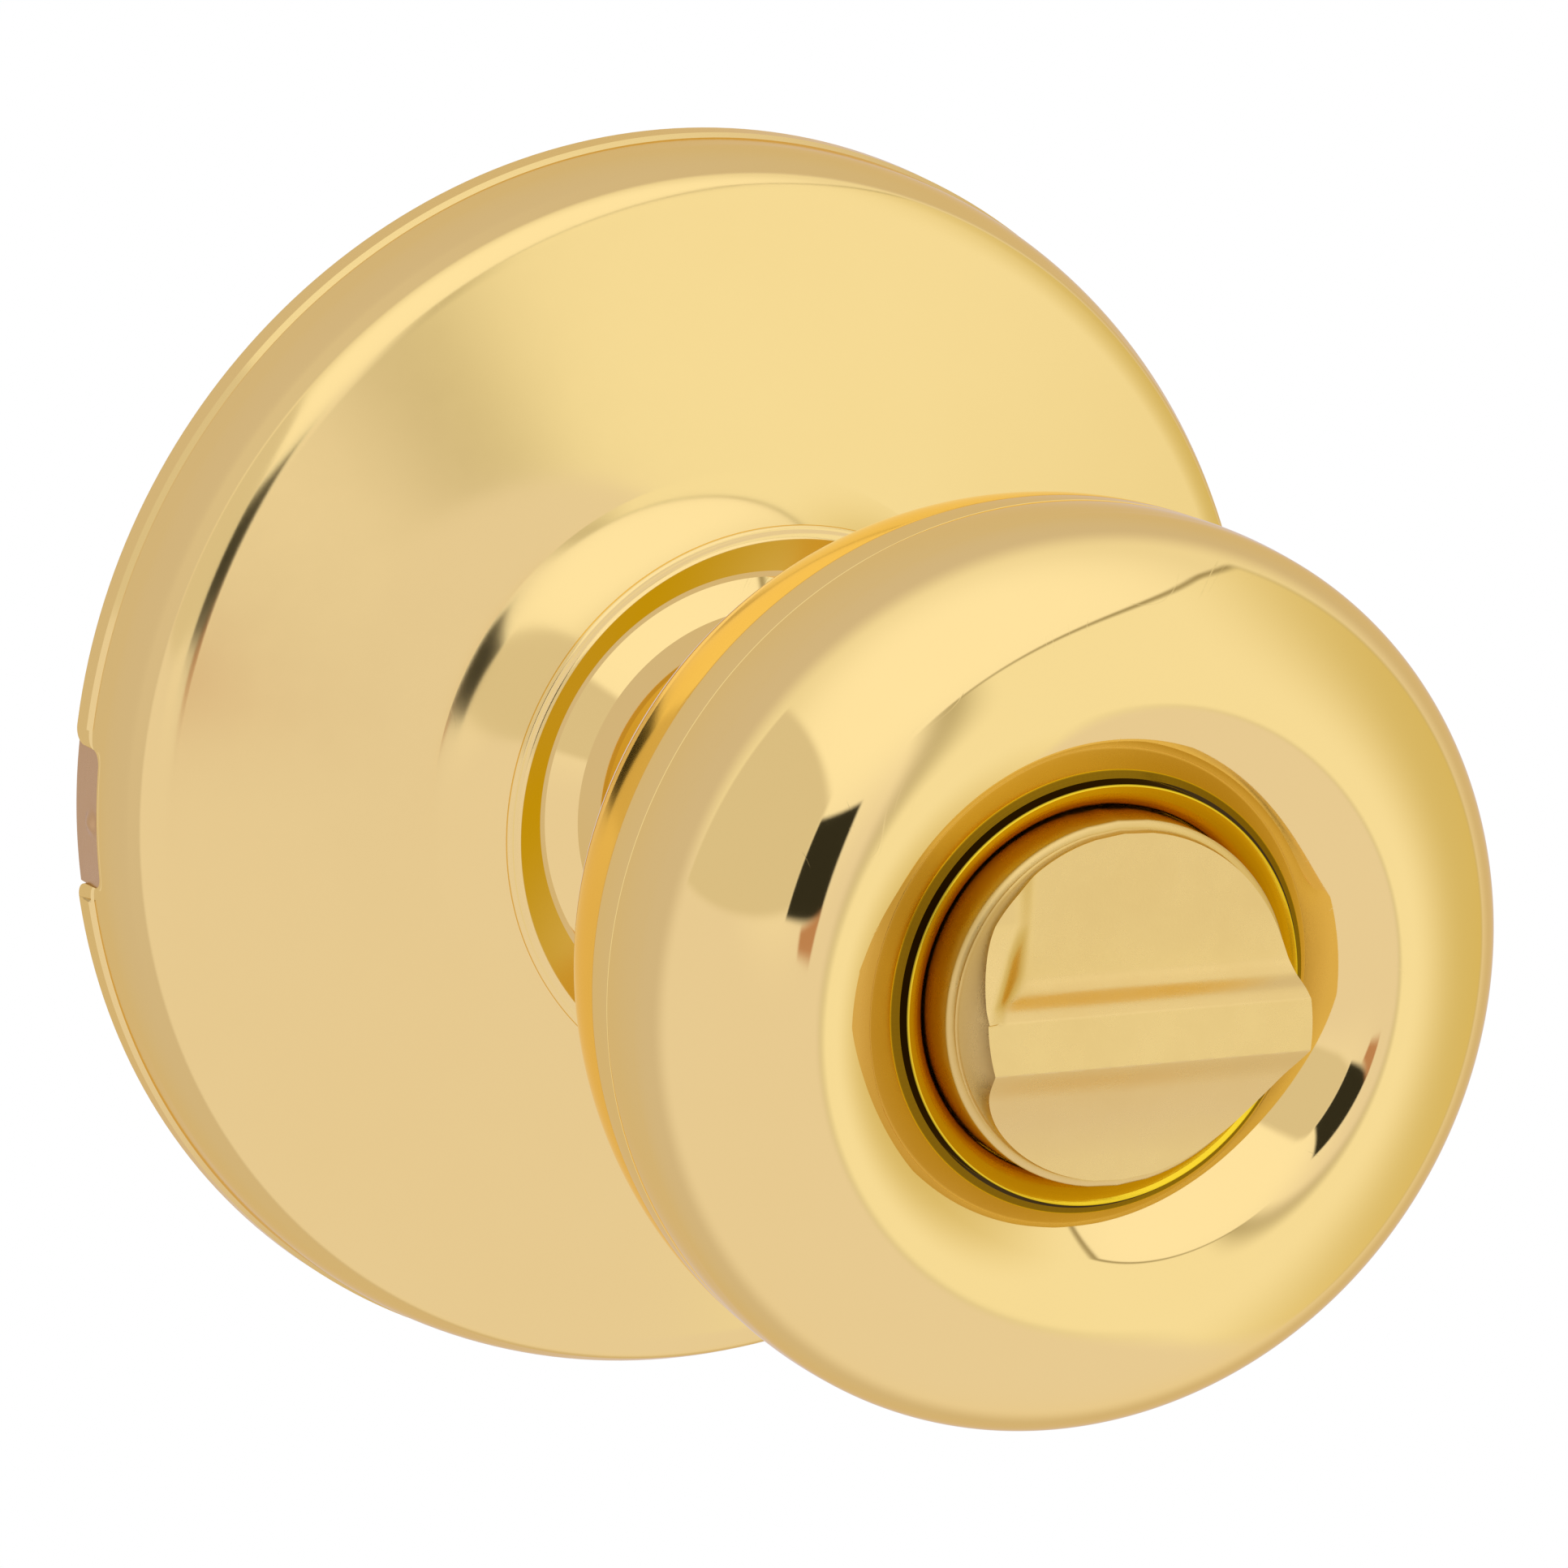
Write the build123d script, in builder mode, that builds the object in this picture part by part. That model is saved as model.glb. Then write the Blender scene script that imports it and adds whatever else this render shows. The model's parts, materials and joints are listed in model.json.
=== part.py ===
from build123d import *
from math import cos, radians, sin, sqrt
import os

# Interior half of a privacy door knob: rose, knob, turn button and what they hold inside.
# Frame: the door's face is the plane y = 0 and the knob's axis is the Y axis, +Z up.
# The knob stands out towards -Y, so a "depth" here is a distance out from the door, y = -depth.
# Depths below zero are inside the door's cross bore. Millimetres throughout.

os.makedirs("parts", exist_ok=True)

# ---- driving dimensions ----
rose_radius = 32.5              # covers a 54 mm cross bore
rose_wall = 0.7                 # pressed brass sheet
collar_foot_radius = 16.6       # where the domed face meets the collar
collar_radius = 15.0
collar_top = 15.85
knob_radius = 23.64
knob_front_depth = 56.0
knob_wall = 0.8
neck_radius = 11.8              # where the knob's neck enters the rose
waist_radius = 10.3             # the neck just outside the rose
button_radius = 9.45
button_face = 55.9              # depth of the turn button's rim
grip_height = 4.1               # crest of the grip above that rim
grip_tilt = 2.5                 # degrees the grip stands off level, clockwise seen from the room
screw_spacing = 38.1            # between the two through bolts, on the X axis
screw_hole_radius = 2.5
running_gap = 0.05              # radial clearance of a turning fit
seat_gap = 0.02                 # radial clearance of a pressed or staked seat


def at_depth(depth):
    """The plane parallel to the door at a depth; extruding by a positive amount goes outwards."""
    return Plane.XZ.offset(depth)


def point(radius, depth):
    """A point of a turned profile, drawn in the XY plane and revolved about Y."""
    return (radius, -depth)


def bevelled(corners):
    """Close a profile given as radius and depth corners."""
    Polyline(*[point(r, d) for r, d in corners], close=True)


def quarter_round(radius, depth, radial, axial):
    """A flattened quarter turn about (radius, depth), from its rim to its face, in two arcs."""
    middle = point(radius + radial * cos(radians(45)), depth + axial * sin(radians(45)))
    TangentArc(point(radius + radial, depth), middle, tangent=(0, -1))
    TangentArc(point(radius, depth + axial), middle, tangent=(1, 0))


def bend(start, steep, gentle, radius):
    """An arc walked towards the axis; its fall towards the rim eases from `steep` to `gentle` degrees."""
    ends = [
        (
            start[0] - radius * (sin(radians(steep)) - sin(radians(fall))),
            start[1] - radius * (cos(radians(fall)) - cos(radians(steep))),
        )
        for fall in ((steep + gentle) / 2, gentle)
    ]
    ThreePointArc(start, ends[0], ends[1])
    return ends[1]


def flare(start, rise, end):
    """A hollow arc that leaves `start` towards the axis, rising at `rise` degrees, and reaches `end`."""
    TangentArc(start, end, tangent=(-cos(radians(rise)), -sin(radians(rise))))
    return end


def write(builder, name):
    builder.part.label = name
    export_step(builder.part, f"parts/{name}.step")


# ---- rose cover: domed dish with a rolled back edge, a flared collar and a pry notch ----
back_edge = 0.15                # the rose just clears the door
bead_radius = rose_radius + 0.2
bead_top = 1.35
groove_depth = 1.7
shoulder_start = 3.4
shoulder_falls = (88, 70, 28, 9.5, 8)   # degrees the outside falls to the rim, from the wall to the collar
shoulder_radii = (8.0, 1.2, 3.0)        # of the three bends between those falls
shoulder_run = (0.26, 0.714)            # the straight between the first two bends, inwards and outwards
collar_rises = (14, 24)                 # degrees the collar rises at its foot and past its first hollow
collar_foot_run = (1.0, 0.344)
waist_run = (2.4, 2.24)
bell_mouth = (collar_radius, 15.35)     # radius and depth where the bell turns over
bell_crown = (14.85, 15.75)
bell_inner_radius = 14.45
bell_heading = (-0.1, -1)               # the bell leaves the waist a little inwards
bell_root_back = (12.8, 11.8)
collar_hole_radius = 12.15
collar_hole_depth = 13.2
collar_hole_back = 12.75
notch_width = 7.4
notch_depth = 2.8
notch_flare = 0.9               # radius of the notch's mouth corners

dome_radius = (
    rose_radius
    - shoulder_radii[0] * (sin(radians(shoulder_falls[0])) - sin(radians(shoulder_falls[1])))
    - shoulder_run[0]
    - shoulder_radii[1] * (sin(radians(shoulder_falls[1])) - sin(radians(shoulder_falls[2])))
    - shoulder_radii[2] * (sin(radians(shoulder_falls[2])) - sin(radians(shoulder_falls[3])))
    - collar_foot_radius
) / (sin(radians(shoulder_falls[3])) - sin(radians(shoulder_falls[4])))

with BuildPart() as rose_cover:
    with BuildSketch(Plane.XY):
        # the dish, up to the collar's waist
        with BuildLine():
            Line(point(bead_radius, back_edge), point(bead_radius, bead_top))
            Line(point(bead_radius, bead_top), point(rose_radius, groove_depth))
            Line(point(rose_radius, groove_depth), point(rose_radius, shoulder_start))
            wall_start = point(rose_radius, shoulder_start)
            wall_end = bend(wall_start, shoulder_falls[0], shoulder_falls[1], shoulder_radii[0])
            run_end = (wall_end[0] - shoulder_run[0], wall_end[1] - shoulder_run[1])
            Line(wall_end, run_end)
            turn_end = bend(run_end, shoulder_falls[1], shoulder_falls[2], shoulder_radii[1])
            face_rim = bend(turn_end, shoulder_falls[2], shoulder_falls[3], shoulder_radii[2])
            foot = bend(face_rim, shoulder_falls[3], shoulder_falls[4], dome_radius)
            foot_end = (foot[0] - collar_foot_run[0], foot[1] - collar_foot_run[1])
            hollow = flare(foot, collar_rises[0], foot_end)
            waist_end = (hollow[0] - waist_run[0], hollow[1] - waist_run[1])
            waist = flare(hollow, collar_rises[1], waist_end)
            offset(amount=rose_wall, side=Side.RIGHT, closed=True)
        make_face()
        # the collar's rolled bell, above the waist
        with BuildLine():
            Line(point(*bell_root_back), waist)
            TangentArc(waist, point(*bell_mouth), tangent=bell_heading)
            Spline(point(*bell_mouth), point(*bell_crown), point(bell_inner_radius, collar_top))
            Line(point(bell_inner_radius, collar_top), point(collar_hole_radius, collar_hole_depth))
            Line(point(collar_hole_radius, collar_hole_depth), point(collar_hole_radius, collar_hole_back))
            Line(point(collar_hole_radius, collar_hole_back), point(*bell_root_back))
        make_face()
    revolve(axis=Axis.Y)
    # pry notch at nine o'clock, open at the back edge and flared at its mouth
    with BuildSketch(Plane.YZ):
        with Locations((-notch_depth / 2, 0)):
            Rectangle(notch_depth, notch_width)
        with Locations((-notch_flare / 2, 0)):
            Rectangle(notch_flare, notch_width + 2 * notch_flare)
        with Locations(
            (-notch_flare, (notch_width / 2 + notch_flare)),
            (-notch_flare, -(notch_width / 2 + notch_flare)),
        ):
            Circle(notch_flare, mode=Mode.SUBTRACT)
    extrude(amount=-2 * rose_radius, mode=Mode.SUBTRACT)
write(rose_cover, "rose_cover")

# ---- mounting plate: stamped steel cup, flat on the door, held by the two through bolts ----
plate_thickness = 1.2
plate_rim_round = 0.6
plate_back = 0.3                # the middle stands clear of the door, the rim bears on it
bearing_inner = 27.6            # just outside the door's cross bore
flange_outer = 31.3
flange_depth = 4.6
flange_wall = 1.0
hub_hole_radius = 10.2
dimple_radius = 1.5
dimple_rise = 0.75              # the snap bump that shows in the pry notch
snap_rise = 0.3
snap_depth = 2.0
rivet_circle = 18.8
rivet_radius = 1.2
rivet_angles = (45, 135, 225, 315)
rivet_places = [(rivet_circle * cos(radians(a)), rivet_circle * sin(radians(a))) for a in rivet_angles]
slot_circle = 25.3
slot_length = 11.0
slot_width = 3.2

with BuildPart() as mounting_plate:
    with BuildSketch(Plane.XY):
        with BuildLine():
            bevelled([
                (hub_hole_radius, plate_back),
                (bearing_inner, plate_back),
                (bearing_inner, 0),
                (flange_outer, 0),
                (flange_outer, flange_depth),
                (flange_outer - flange_wall, flange_depth),
                (flange_outer - flange_wall, plate_thickness),
                (hub_hole_radius, plate_thickness),
            ])
        make_face()
    revolve(axis=Axis.Y)
    outer_back_rim = mounting_plate.edges().filter_by(GeomType.CIRCLE).sort_by(Axis.Y)[-2:].sort_by(
        SortBy.RADIUS
    )[-1]
    fillet(outer_back_rim, radius=plate_rim_round)
    # bolt holes, rivet holes and four lightening slots between the rivets
    with BuildSketch(at_depth(0)):
        with GridLocations(screw_spacing, 0, 2, 1):
            Circle(screw_hole_radius)
        with Locations(*rivet_places):
            Circle(rivet_radius)
        with PolarLocations(slot_circle, 4, start_angle=45):
            SlotOverall(slot_length, slot_width, rotation=90)
    extrude(amount=plate_thickness, mode=Mode.SUBTRACT)
    # snap bumps: one in the pry notch and three low ones that grip the rose
    with Locations((-(flange_outer + dimple_rise - dimple_radius), -snap_depth, 0)):
        Sphere(dimple_radius)
    with Locations(*[
        (
            (flange_outer + snap_rise - dimple_radius) * cos(radians(a)),
            -snap_depth,
            (flange_outer + snap_rise - dimple_radius) * sin(radians(a)),
        )
        for a in (0, 90, 270)
    ]):
        Sphere(dimple_radius)
    with BuildSketch(Plane.XY):
        with BuildLine():
            bevelled([
                (hub_hole_radius, plate_thickness),
                (flange_outer - flange_wall, plate_thickness),
                (flange_outer - flange_wall, flange_depth),
                (hub_hole_radius, flange_depth),
            ])
        make_face()
    revolve(axis=Axis.Y, mode=Mode.SUBTRACT)
write(mounting_plate, "mounting_plate")

# ---- hub bushing: die-cast bearing staked into the plate, the drive tube turns in it ----
tube_radius = 9.0
tube_wall = 1.1
hub_outer = 10.6
hub_top = 12.0
hub_flange_radius = 14.0
hub_flange_top = 3.2
hub_chamfer = 0.3

with BuildPart() as hub_bushing:
    with BuildSketch(Plane.XY):
        with BuildLine():
            bevelled([
                (tube_radius + running_gap, plate_back),
                (hub_hole_radius - seat_gap, plate_back),
                (hub_hole_radius - seat_gap, plate_thickness),
                (hub_flange_radius, plate_thickness),
                (hub_flange_radius, hub_flange_top),
                (hub_outer, hub_flange_top),
                (hub_outer, hub_top),
                (tube_radius + running_gap, hub_top),
            ])
        make_face()
    revolve(axis=Axis.Y)
    chamfer(hub_bushing.edges().filter_by(GeomType.CIRCLE).sort_by(Axis.Y)[:1], length=hub_chamfer)
write(hub_bushing, "hub_bushing")

# ---- spring cage: stamped cup behind the plate, inside the cross bore ----
cage_outer = 16.5
cage_wall = 0.8
cage_back = -6.6
cage_hole_radius = 9.6
ear_thickness = 1.0
ear_back = plate_back - ear_thickness
ear_width = 5.0
ear_length = 7.6
ear_circle = 17.6
stop_angle = 77                 # each side of the top, where the driver's fork stops
dent_circle = 15.2
dent_depth = 1.4
dent_width = 2.4
dent_front = -1.9
leg_slot_width = 1.8
leg_slot_height = 2.0
coil_radius = 12.9
coil_wire = 0.9
coil_start = -2.3
coil_pitch = 1.1
coil_turns = 2.5

with BuildPart() as spring_cage:
    with BuildSketch(Plane.XY):
        with BuildLine():
            bevelled([
                (cage_hole_radius, cage_back),
                (cage_outer, cage_back),
                (cage_outer, plate_back),
                (cage_outer - cage_wall, plate_back),
                (cage_outer - cage_wall, cage_back + cage_wall),
                (cage_hole_radius, cage_back + cage_wall),
            ])
        make_face()
    revolve(axis=Axis.Y)
    # four ears that carry the rivets
    with BuildSketch(at_depth(ear_back)):
        with PolarLocations(ear_circle, 4, start_angle=45):
            SlotOverall(ear_length, ear_width)
        Circle(cage_outer - cage_wall / 2, mode=Mode.SUBTRACT)
        with PolarLocations(rivet_circle, 4, start_angle=45):
            Circle(rivet_radius, mode=Mode.SUBTRACT)
    extrude(amount=ear_thickness)
    # two dents in the wall stop the driver's fork at the ends of its turn
    with BuildSketch(at_depth(cage_back + cage_wall)):
        for dent_angle in (90 - stop_angle, 90 + stop_angle):
            with PolarLocations(dent_circle, 1, start_angle=dent_angle):
                Rectangle(dent_depth, dent_width)
    extrude(amount=dent_front - cage_back - cage_wall)
    # slot that holds the return spring's fixed leg
    with BuildSketch(at_depth(cage_back + cage_wall)):
        with Locations((0, -cage_outer)):
            Rectangle(leg_slot_width, 2 * leg_slot_height)
    extrude(amount=leg_slot_height, mode=Mode.SUBTRACT)
write(spring_cage, "spring_cage")

# ---- cage rivets: four, joining the cage's ears to the plate ----
rivet_head_radius = 2.0
rivet_head_height = 0.7
rivet_head_taper = 12

with BuildPart() as cage_rivets:
    with BuildSketch(at_depth(ear_back - rivet_head_height)):
        with Locations(*rivet_places):
            Circle(rivet_head_radius)
    extrude(amount=rivet_head_height)
    with BuildSketch(at_depth(ear_back)):
        with Locations(*rivet_places):
            Circle(rivet_radius - seat_gap)
    extrude(amount=plate_thickness - ear_back)
    with BuildSketch(at_depth(plate_thickness)):
        with Locations(*rivet_places):
            Circle(rivet_head_radius)
    extrude(amount=rivet_head_height, taper=rivet_head_taper)
write(cage_rivets, "cage_rivets")

# ---- spring driver: plate keyed to the drive tube, its fork carries the spring's moving leg ----
driver_radius = 12.0
driver_front = -0.5
driver_back = -1.7
fork_back = -3.3
fork_inner = 13.9
fork_outer = 15.2
fork_gap = coil_wire + 0.2
fork_width = 5.0

with BuildPart() as spring_driver:
    with BuildSketch(at_depth(driver_back)):
        Circle(driver_radius)
        with Locations((0, fork_outer / 2)):
            Rectangle(fork_width, fork_outer)
        Circle(tube_radius + seat_gap, mode=Mode.SUBTRACT)
    extrude(amount=driver_front - driver_back)
    with BuildSketch(at_depth(fork_back)):
        with Locations((0, (fork_inner + fork_outer) / 2)):
            Rectangle(fork_width, fork_outer - fork_inner)
            Rectangle(fork_gap, fork_outer - fork_inner, mode=Mode.SUBTRACT)
    extrude(amount=driver_back - fork_back)
write(spring_driver, "spring_driver")

# ---- return spring: wound between the driver's fork (top) and the cage's slot (bottom) ----
spring_leg_top = 15.0
spring_leg_bottom = -16.3

with BuildPart() as return_spring:
    with BuildLine():
        coil = Helix(
            pitch=coil_pitch,
            height=coil_pitch * coil_turns,
            radius=coil_radius,
            center=(0, -coil_start, 0),
            direction=(0, 1, 0),
        )
    with BuildSketch(Plane(origin=coil @ 0, z_dir=coil % 0)):
        Circle(coil_wire / 2)
    sweep(path=coil, is_frenet=True)
    with BuildSketch(Plane.XY.offset(coil_radius)):
        with Locations((0, (coil @ 0).Y)):
            Circle(coil_wire / 2)
    extrude(amount=spring_leg_top - coil_radius)
    with BuildSketch(Plane.XY.offset(-coil_radius)):
        with Locations((0, (coil @ 1).Y)):
            Circle(coil_wire / 2)
    extrude(amount=spring_leg_bottom + coil_radius)
write(return_spring, "return_spring")

# ---- drive tube: steel tube from the knob's core through the hub to behind the cage ----
tube_back = -9.4
tube_front = 46.0
ring_groove_back = -8.5
ring_groove_front = -7.6
ring_groove_radius = 8.4
pin_depth = 24.0                # two pins tie the spindle's block to the tube
pin_radius = 1.2

with BuildPart() as drive_tube:
    with BuildSketch(Plane.XY):
        with BuildLine():
            bevelled([
                (tube_radius - tube_wall, tube_back),
                (tube_radius, tube_back),
                (tube_radius, ring_groove_back),
                (ring_groove_radius, ring_groove_back),
                (ring_groove_radius, ring_groove_front),
                (tube_radius, ring_groove_front),
                (tube_radius, tube_front),
                (tube_radius - tube_wall, tube_front),
            ])
        make_face()
    revolve(axis=Axis.Y)
    with BuildSketch(Plane.YZ):
        with Locations((-pin_depth, 0)):
            Circle(pin_radius)
    extrude(amount=tube_radius, both=True, mode=Mode.SUBTRACT)
write(drive_tube, "drive_tube")

# ---- washers and retaining ring ----
washer_radius = 12.5
washer_thickness = 0.85

with BuildPart() as rear_washer:
    with BuildSketch(at_depth(ring_groove_front)):
        Circle(washer_radius)
        Circle(tube_radius + seat_gap, mode=Mode.SUBTRACT)
    extrude(amount=washer_thickness)
write(rear_washer, "rear_washer")

ring_outer = 11.4
ring_gap_angle = 50             # the open part of the ring, at the bottom
ring_play = 0.03                # the ring's play along its groove, each side
wedge = 20.0                    # long enough to cut right through the ring

with BuildPart() as retaining_ring:
    with BuildSketch(at_depth(ring_groove_back + ring_play)):
        Circle(ring_outer)
        Circle(ring_groove_radius + seat_gap, mode=Mode.SUBTRACT)
        wedge_x = wedge * sin(radians(ring_gap_angle / 2))
        wedge_y = -wedge * cos(radians(ring_gap_angle / 2))
        with BuildLine():
            Polyline((0, 0), (-wedge_x, wedge_y), (wedge_x, wedge_y), close=True)
        make_face(mode=Mode.SUBTRACT)
    extrude(amount=ring_groove_front - ring_groove_back - 2 * ring_play)
write(retaining_ring, "retaining_ring")

thrust_front = 12.9
thrust_radius = 10.2
thrust_play = 0.1               # end play between the hub and the washer

with BuildPart() as thrust_washer:
    with BuildSketch(at_depth(hub_top + thrust_play)):
        Circle(thrust_radius)
        Circle(tube_radius + seat_gap, mode=Mode.SUBTRACT)
    extrude(amount=thrust_front - hub_top - thrust_play)
write(thrust_washer, "thrust_washer")

neck_bush_front = 21.0
bush_chamfer = 0.15

with BuildPart() as neck_bush:
    with BuildSketch(at_depth(thrust_front)):
        Circle(waist_radius - knob_wall - seat_gap)
        Circle(tube_radius + seat_gap, mode=Mode.SUBTRACT)
    extrude(amount=neck_bush_front - thrust_front)
    chamfer(neck_bush.edges().filter_by(GeomType.CIRCLE).sort_by(Axis.Y)[:2], length=bush_chamfer)
write(neck_bush, "neck_bush")

# ---- knob, back shell: neck and bowl, spun in one piece ----
seam_depth = 46.0               # where the two shells meet
neck_back = 4.2
neck_fillet = 4.0
neck_shoulder = (13.0, 13.8)   # depths between which the neck steps in to its waist
bowl_radius = 20.3              # the bowl is an arc about a ring a little off the axis
bowl_ring_radius = 3.2
bowl_ring_depth = 46.5
lap_back = 44.5                 # the back shell's lap inside the front shell
lap_front = 48.0

fillet_ring_radius = waist_radius + neck_fillet
fillet_reach = bowl_radius + neck_fillet
fillet_ring_depth = bowl_ring_depth - sqrt(fillet_reach**2 - (fillet_ring_radius - bowl_ring_radius) ** 2)
joint_share = bowl_radius / fillet_reach
neck_joint = point(
    bowl_ring_radius + (fillet_ring_radius - bowl_ring_radius) * joint_share,
    bowl_ring_depth + (fillet_ring_depth - bowl_ring_depth) * joint_share,
)
seam_radius = bowl_ring_radius + sqrt(bowl_radius**2 - (bowl_ring_depth - seam_depth) ** 2)
seam_gap = 0.03

with BuildPart() as knob_back:
    with BuildSketch(Plane.XY):
        with BuildLine():
            Line(point(neck_radius, neck_back), point(neck_radius, neck_shoulder[0]))
            Line(point(neck_radius, neck_shoulder[0]), point(waist_radius, neck_shoulder[1]))
            Line(point(waist_radius, neck_shoulder[1]), point(waist_radius, fillet_ring_depth))
            TangentArc(point(waist_radius, fillet_ring_depth), neck_joint, tangent=(0, -1))
            seam_edge = point(seam_radius, seam_depth - seam_gap)
            bowl_tangent = (bowl_ring_depth - fillet_ring_depth, bowl_ring_radius - fillet_ring_radius)
            TangentArc(neck_joint, seam_edge, tangent=bowl_tangent)
            offset(amount=knob_wall, side=Side.RIGHT, closed=True)
        make_face()
        with BuildLine():
            bevelled([
                (seam_radius - 2 * knob_wall, lap_back),
                (seam_radius - knob_wall - seat_gap, lap_back),
                (seam_radius - knob_wall - seat_gap, lap_front),
                (seam_radius - 2 * knob_wall, lap_front),
            ])
        make_face()
    revolve(axis=Axis.Y)
write(knob_back, "knob_back")

# ---- knob, front shell: rounded ring with a rolled mouth around the turn button ----
widest_depth = 49.25
ridge_radius = 16.0
lip_break_radius = 13.3         # the mouth rolls in faster inside this radius
lip_break_depth = 55.25
mouth_radius = 11.05
mouth_depth = 53.8

with BuildPart() as knob_front:
    with BuildSketch(Plane.XY):
        with BuildLine():
            TangentArc(
                point(knob_radius, widest_depth),
                point(seam_radius, seam_depth + seam_gap),
                tangent=(0, 1),
            )
            quarter_round(
                ridge_radius,
                widest_depth,
                knob_radius - ridge_radius,
                knob_front_depth - widest_depth,
            )
            lip_arc = TangentArc(
                point(ridge_radius, knob_front_depth),
                point(lip_break_radius, lip_break_depth),
                tangent=(-1, 0),
            )
            TangentArc(lip_arc @ 1, point(mouth_radius, mouth_depth), tangent=lip_arc % 1)
            offset(amount=knob_wall, side=Side.LEFT, closed=True)
        make_face()
    revolve(axis=Axis.Y)
write(knob_front, "knob_front")

# ---- core plate: stamped disc that ties the shells to the drive tube ----
core_depth = 38.0
core_thickness = 1.2
core_hub_back = 34.0
core_hub_radius = 10.8
core_hole_circle = 15.6
core_hole_radius = 2.6
core_radius = (
    bowl_ring_radius
    + sqrt((bowl_radius - knob_wall) ** 2 - (bowl_ring_depth - core_depth) ** 2)
    - seat_gap
)

with BuildPart() as core_plate:
    with BuildSketch(at_depth(core_depth)):
        Circle(core_radius)
    extrude(amount=core_thickness)
    with BuildSketch(at_depth(core_hub_back)):
        Circle(core_hub_radius)
    extrude(amount=core_depth - core_hub_back)
    with BuildSketch(at_depth(core_depth)):
        with PolarLocations(core_hole_circle, 6):
            Circle(core_hole_radius)
    extrude(amount=core_thickness, mode=Mode.SUBTRACT)
    with BuildSketch(at_depth(core_hub_back)):
        Circle(tube_radius + seat_gap)
    extrude(amount=core_depth + core_thickness - core_hub_back, mode=Mode.SUBTRACT)
write(core_plate, "core_plate")

# ---- button bezel: turned cup around the turn button, its rear sleeve fits the drive tube ----
bezel_outer = 10.85
bezel_inner = 9.55
bezel_rim_depth = 54.2
bezel_dish = 1.1                # the rim slopes in towards the button
bezel_floor_front = 47.7
bezel_floor_back = 46.2
bezel_sleeve_back = 40.2
bezel_collar_radius = 13.0
bezel_collar_front = 52.4
bezel_collar_back = 51.4
stem_radius = 4.0

with BuildPart() as button_bezel:
    with BuildSketch(Plane.XY):
        with BuildLine():
            bevelled([
                (bezel_outer, bezel_sleeve_back),
                (bezel_outer, bezel_collar_back),
                (bezel_collar_radius, bezel_collar_back),
                (bezel_collar_radius, bezel_collar_front),
                (bezel_outer, bezel_collar_front),
                (bezel_outer, bezel_rim_depth),
                (bezel_inner, bezel_rim_depth - bezel_dish),
                (bezel_inner, bezel_floor_front),
                (stem_radius + running_gap, bezel_floor_front),
                (stem_radius + running_gap, bezel_floor_back),
                (tube_radius + seat_gap, bezel_floor_back),
                (tube_radius + seat_gap, bezel_sleeve_back),
            ])
        make_face()
    revolve(axis=Axis.Y)
write(button_bezel, "button_bezel")

# ---- turn button: die-cast, a disc with a scooped grip across it and a slotted stem ----
button_back = 51.6
stem_back = 43.8
clip_groove_back = 45.1
clip_groove_front = 45.9
clip_groove_radius = 3.2
grip_radius = 8.95
grip_drop = 0.7                 # the section's datum lies this far below the disc's middle
# the grip's section: distance above the crest line's datum, height above the button's rim
lower_scoop = ((-10.5, 0.3), (-7.0, 0.6), (-5.3, 1.0), (-3.3, 2.1), (-1.3, grip_height))
upper_scoop = ((1.2, 3.5), (1.6, 2.95), (2.2, 1.8), (2.9, 1.2), (4.2, 0.95), (7.0, 0.7), (10.5, 0.5))
bar_width = 5.0
bar_thickness = 1.6
slot_front = 50.0

tilt = radians(grip_tilt)
grip_plane = Plane(origin=(0, 0, 0), x_dir=(0, 1, 0), z_dir=(cos(tilt), 0, -sin(tilt)))


def on_grip(across, height):
    return (-(button_face + height), across - grip_drop)


with BuildPart() as turn_button:
    with BuildSketch(grip_plane):
        with BuildLine():
            Spline(*[on_grip(*place) for place in lower_scoop])
            Line(on_grip(*lower_scoop[-1]), on_grip(*upper_scoop[0]))
            Spline(*[on_grip(*place) for place in upper_scoop])
            Line(on_grip(*upper_scoop[-1]), on_grip(upper_scoop[-1][0], 0))
            Line(on_grip(upper_scoop[-1][0], 0), on_grip(lower_scoop[0][0], 0))
            Line(on_grip(lower_scoop[0][0], 0), on_grip(*lower_scoop[0]))
        make_face()
    extrude(amount=button_radius, both=True)
    with BuildSketch(at_depth(button_face)):
        Circle(grip_radius)
    extrude(amount=grip_height + 1, mode=Mode.INTERSECT)
    with BuildSketch(at_depth(button_back)):
        Circle(button_radius)
    extrude(amount=button_face - button_back)
    with BuildSketch(Plane.XY):
        with BuildLine():
            bevelled([
                (0, button_back),
                (stem_radius, button_back),
                (stem_radius, clip_groove_front),
                (clip_groove_radius, clip_groove_front),
                (clip_groove_radius, clip_groove_back),
                (stem_radius, clip_groove_back),
                (stem_radius, stem_back),
                (0, stem_back),
            ])
        make_face()
    revolve(axis=Axis.Y)
    with BuildSketch(at_depth(stem_back)):
        Rectangle(bar_width + 2 * seat_gap, bar_thickness + 2 * seat_gap)
    extrude(amount=slot_front - stem_back, mode=Mode.SUBTRACT)
write(turn_button, "turn_button")

# ---- button clip and tension spring: hold the turn button in the bezel's floor ----
clip_radius = 6.2
clip_mouth = 4.4
clip_thickness = 0.7

with BuildPart() as button_clip:
    with BuildSketch(at_depth(clip_groove_back + running_gap)):
        Circle(clip_radius)
        Circle(clip_groove_radius + seat_gap, mode=Mode.SUBTRACT)
        with Locations((0, -clip_radius)):
            Rectangle(clip_mouth, 2 * clip_radius, mode=Mode.SUBTRACT)
    extrude(amount=clip_thickness)
write(button_clip, "button_clip")

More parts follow.
